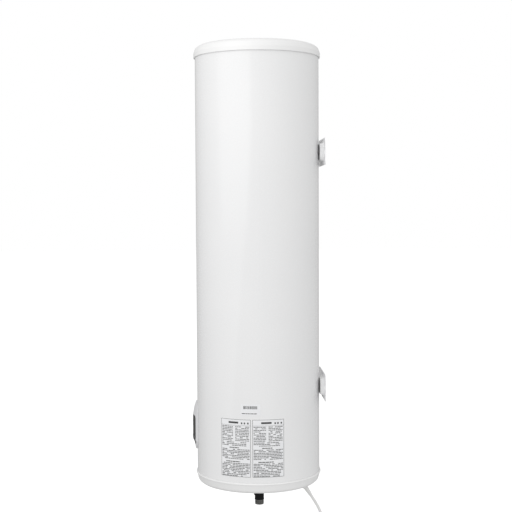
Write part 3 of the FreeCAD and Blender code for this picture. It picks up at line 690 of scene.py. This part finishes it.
def bent_bar(x0, x1, z0, z1, front):
    """A closed bar across the panel that follows the bulge of its front."""
    steps = math.ceil((x1 - x0) / MARK_STEP_MM)
    points = []
    for k in range(steps + 1):
        x = x0 + (x1 - x0) * k / steps
        out, back = front(x) - MARK_OUT, front(x) + MARK_BACK
        loop = ((out, z0), (out, z1), (back, z1), (back, z0))
        points += [at(x * MM, y, z * MM) for y, z in loop]
    faces = [(0, 1, 2, 3), tuple(4 * steps + i for i in (3, 2, 1, 0))]
    for a in range(0, 4 * steps, 4):
        faces += [(a + i, a + 4 + i, a + 4 + (i + 1) % 4, a + (i + 1) % 4) for i in range(4)]
    return points, faces


def front_bars(name, body, bars, front, material, slot):
    """Raised marks on the panel: each bar is x low, x high, z low, z high in mm."""
    piece(name, *merged([bent_bar(*bar, front) for bar in bars]), material, slot, body)


PANEL_PROUD = 0.0134
FRONT_R = 0.077             # the panel's bulge, seen from above
BUTTON_PROUD = 0.0004


def panel_front(x_mm):
    """Distance from the axis to the panel's front at a distance from its middle."""
    fall = FRONT_R - math.sqrt(FRONT_R ** 2 - (x_mm * MM) ** 2)
    return fall - CASING_R - PANEL_PROUD


mark_grey = surface("panel_mark", grey(0.55), grey(0.62), 0.01, (0.4, 0.5), 0.0005, 0.000005)
segment_dim = surface("unlit_segment", grey(0.022), grey(0.028), 0.01, (0.25, 0.35),
                      0.0005, 0.000005)
BUTTON_Z_MM = 104.0
# each button's distance from the panel's middle, and its bars about its centre
BUTTON_MARKS = {
    "power": (-24, [(-0.3, 0.3, 0.2, 2.4), (-1.9, -1.3, -1.6, 1.4), (1.3, 1.9, -1.6, 1.4),
                    (-1.9, 1.9, -2.2, -1.6)]),
    "cooler": (-8, [(-1.8, 1.8, -0.3, 0.3)]),
    "warmer": (8, [(-1.8, 1.8, -0.3, 0.3), (-0.3, 0.3, 0.3, 1.8), (-0.3, 0.3, -1.8, -0.3)]),
    "eco": (24, [(-1.4, -0.8, -1.4, 1.4), (-0.2, 0.4, -1.4, 0.6), (1.0, 1.6, -1.4, -0.2)]),
}


def button_front(x_mm):
    """The same for the buttons, which stand a little proud."""
    return panel_front(x_mm) - BUTTON_PROUD


for body, (x, marks) in BUTTON_MARKS.items():
    placed = [(x + a, x + b, BUTTON_Z_MM + c, BUTTON_Z_MM + d) for a, b, c, d in marks]
    front_bars(body + "_mark", body, placed, button_front, mark_grey, "button_plastic")


def digit(left, low, wide=12.0, tall=18.0, line=1.6):
    """The seven segments of an unlit digit."""
    mid, right, high = low + tall / 2, left + wide, low + tall
    half = line / 2
    across = [(left + line, right - line, z - half, z + half)
              for z in (low + half, mid, high - half)]
    upright = [(x, x + line, z0 + line, z1 - line) for x in (left, right - line)
               for z0, z1 in ((low, mid), (mid, high))]
    return across + upright


DIGITS_MM = (-15, 3)        # left edges
DIGIT_Z_MM = 135
segments = [bar for left in DIGITS_MM for bar in digit(left, DIGIT_Z_MM)]
front_bars("display_segments", "heater", segments, panel_front, segment_dim, "window_black")


SEAM_TURN = math.radians(115)
SEAM_HALF, SEAM_PROUD = 0.0035, 0.0005
SEAM_SPAN = (0.004, 1.219)
SEAM_ROWS = 40


def casing_seam():
    """The folded lock seam of the casing sheet, on the wall side."""
    half = SEAM_HALF / CASING_R
    outline = [(-half, 0.0), (-half, SEAM_PROUD), (half, SEAM_PROUD), (half, 0.0)]
    low, high = SEAM_SPAN
    points, faces = [], []
    for k in range(SEAM_ROWS + 1):
        z = low + (high - low) * k / SEAM_ROWS
        for turn, out in outline:
            radius, angle = CASING_R + out, SEAM_TURN + turn
            points.append(at(radius * math.cos(angle), radius * math.sin(angle), z))
    for k in range(SEAM_ROWS):
        a, b = 4 * k, 4 * (k + 1)
        faces += [(a + i, a + (i + 1) % 4, b + (i + 1) % 4, b + i) for i in range(4)]
    faces += [(0, 1, 2, 3), tuple(4 * SEAM_ROWS + i for i in (3, 2, 1, 0))]
    piece("casing_lock_seam", points, faces, paint, "casing_paint")


casing_seam()


# ---- floor and light ----
FLOOR_Z = -1.55
FLOOR_HALF = 30.0
FLOOR_GLOW = 0.35


def floor():
    """A pale floor that only the camera sees, so that it throws no light on the heater."""
    mesh = bpy.data.meshes.new("floor")
    corners = ((-1, -1), (1, -1), (1, 1), (-1, 1))
    mesh.from_pydata([(FLOOR_HALF * x, FLOOR_HALF * y, FLOOR_Z) for x, y in corners],
                     [], [(0, 1, 2, 3)])
    material = bpy.data.materials.new("pale_floor")
    material.use_nodes = True
    shader = material.node_tree.nodes["Principled BSDF"]
    shader.inputs["Base Color"].default_value = (0.9, 0.9, 0.9, 1)
    shader.inputs["Roughness"].default_value = 0.9
    shader.inputs["Emission Color"].default_value = (1, 1, 1, 1)
    shader.inputs["Emission Strength"].default_value = FLOOR_GLOW
    mesh.materials.append(material)
    made = bpy.data.objects.new("floor", mesh)
    bpy.context.scene.collection.objects.link(made)
    made.visible_diffuse = False
    made.visible_glossy = False


def softbox(name, place, target, size, power):
    """A rectangular area light aimed at a point."""
    data = bpy.data.lights.new(name, "AREA")
    data.shape = "RECTANGLE"
    data.size, data.size_y = size
    data.energy = power
    lamp = bpy.data.objects.new(name, data)
    bpy.context.scene.collection.objects.link(lamp)
    lamp.location = place
    lamp.rotation_mode = "QUATERNION"
    lamp.rotation_quaternion = (target - place).to_track_quat("-Z", "Y")


LIGHT_LEVEL = 0.765
LIGHT_LEAN = (0.27, 0.04, 0.17)    # how much stronger the soft light is towards +X, +Y and +Z
KEY_PLACE = Vector((0.95, -1.1, 0.5))
KEY_TARGET = at(0, 0, 0.95)
KEY_SIZE = (1.6, 1.6)
KEY_WATTS = 6.2


def studio_world():
    """Soft light from all round, stronger from the camera's side, before a white backdrop."""
    world = bpy.data.worlds.new("studio")
    world.use_nodes = True
    tree = world.node_tree
    soft = tree.nodes["Background"]
    white = node(tree, "ShaderNodeBackground", Strength=1.0)
    way = node(tree, "ShaderNodeTexCoord")
    lean = node(tree, "ShaderNodeVectorMath", operation="DOT_PRODUCT")
    lean.inputs[1].default_value = LIGHT_LEAN
    level = node(tree, "ShaderNodeMath", operation="ADD")
    level.inputs[1].default_value = LIGHT_LEVEL
    rays = node(tree, "ShaderNodeLightPath")
    mix = node(tree, "ShaderNodeMixShader")
    tree.links.new(way.outputs["Generated"], lean.inputs[0])
    tree.links.new(lean.outputs["Value"], level.inputs[0])
    tree.links.new(level.outputs[0], soft.inputs["Strength"])
    tree.links.new(rays.outputs["Is Camera Ray"], mix.inputs[0])
    tree.links.new(soft.outputs[0], mix.inputs[1])
    tree.links.new(white.outputs[0], mix.inputs[2])
    tree.links.new(mix.outputs[0], tree.nodes["World Output"].inputs["Surface"])
    for background in (soft, white):
        background.inputs["Color"].default_value = (1, 1, 1, 1)
    bpy.context.scene.world = world


def lighting():
    studio_world()
    softbox("key", KEY_PLACE, KEY_TARGET, KEY_SIZE, KEY_WATTS)
    bpy.context.scene.view_settings.view_transform = "Standard"


floor()
lighting()
